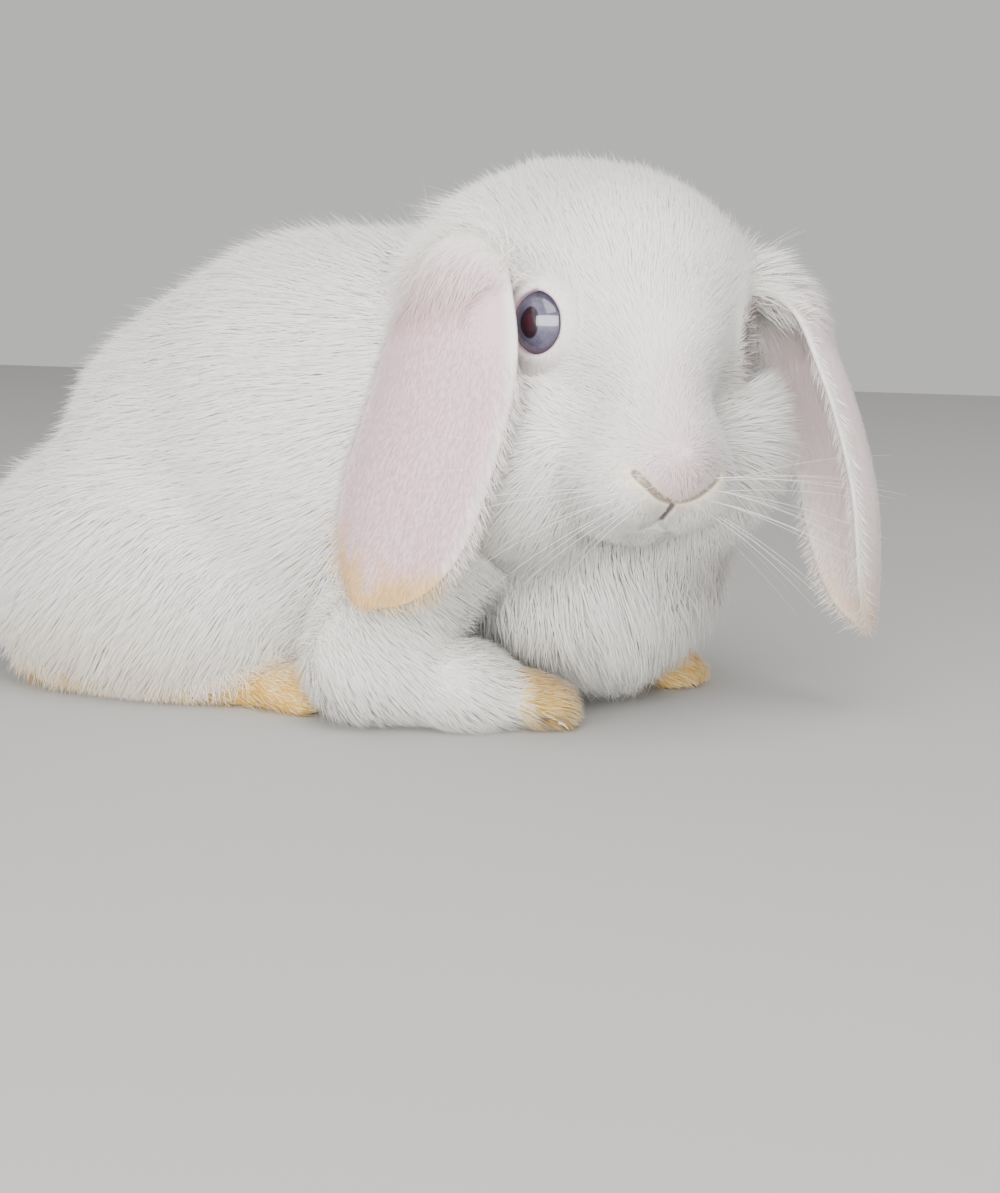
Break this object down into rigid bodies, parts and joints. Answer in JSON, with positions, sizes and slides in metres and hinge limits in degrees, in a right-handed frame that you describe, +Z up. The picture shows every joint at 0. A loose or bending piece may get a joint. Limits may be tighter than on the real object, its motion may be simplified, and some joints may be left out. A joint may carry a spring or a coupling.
{
  "type": "lop rabbit",
  "caption": "Life-size still model of a young lop-eared rabbit crouched on the floor, head turned to its right, ears hanging beside its cheeks.",
  "frame": {"origin": "on the floor under the middle of the belly, on the flat that the belly rests on", "axes": "+Z up from the floor, the trunk faces -Y, the animal's own left side is +X"},
  "size_m": [0.0975, 0.2155, 0.1116],
  "materials": {
    "coat": "soft white fur, fluffed",
    "stained_coat": "short white fur stained yellow at the toes",
    "ear_coat": "thin short fur over pink skin",
    "eye": "wet, glossy, blue-grey iris",
    "claw": "pale translucent horn",
    "whisker": "stiff white hair"
  },
  "bodies": {
    "root": {"head": "coat", "neck": "coat", "trunk": "coat", "tail": "coat", "ear_right": "ear_coat", "ear_left": "ear_coat", "eye_right": "eye", "eye_left": "eye", "foreleg_right": "coat", "foreleg_left": "coat", "forepaw_right": "stained_coat", "forepaw_left": "stained_coat", "thigh_right": "coat", "thigh_left": "coat", "hind_foot_right": "stained_coat", "hind_foot_left": "stained_coat"}
  },
  "joints": []
}
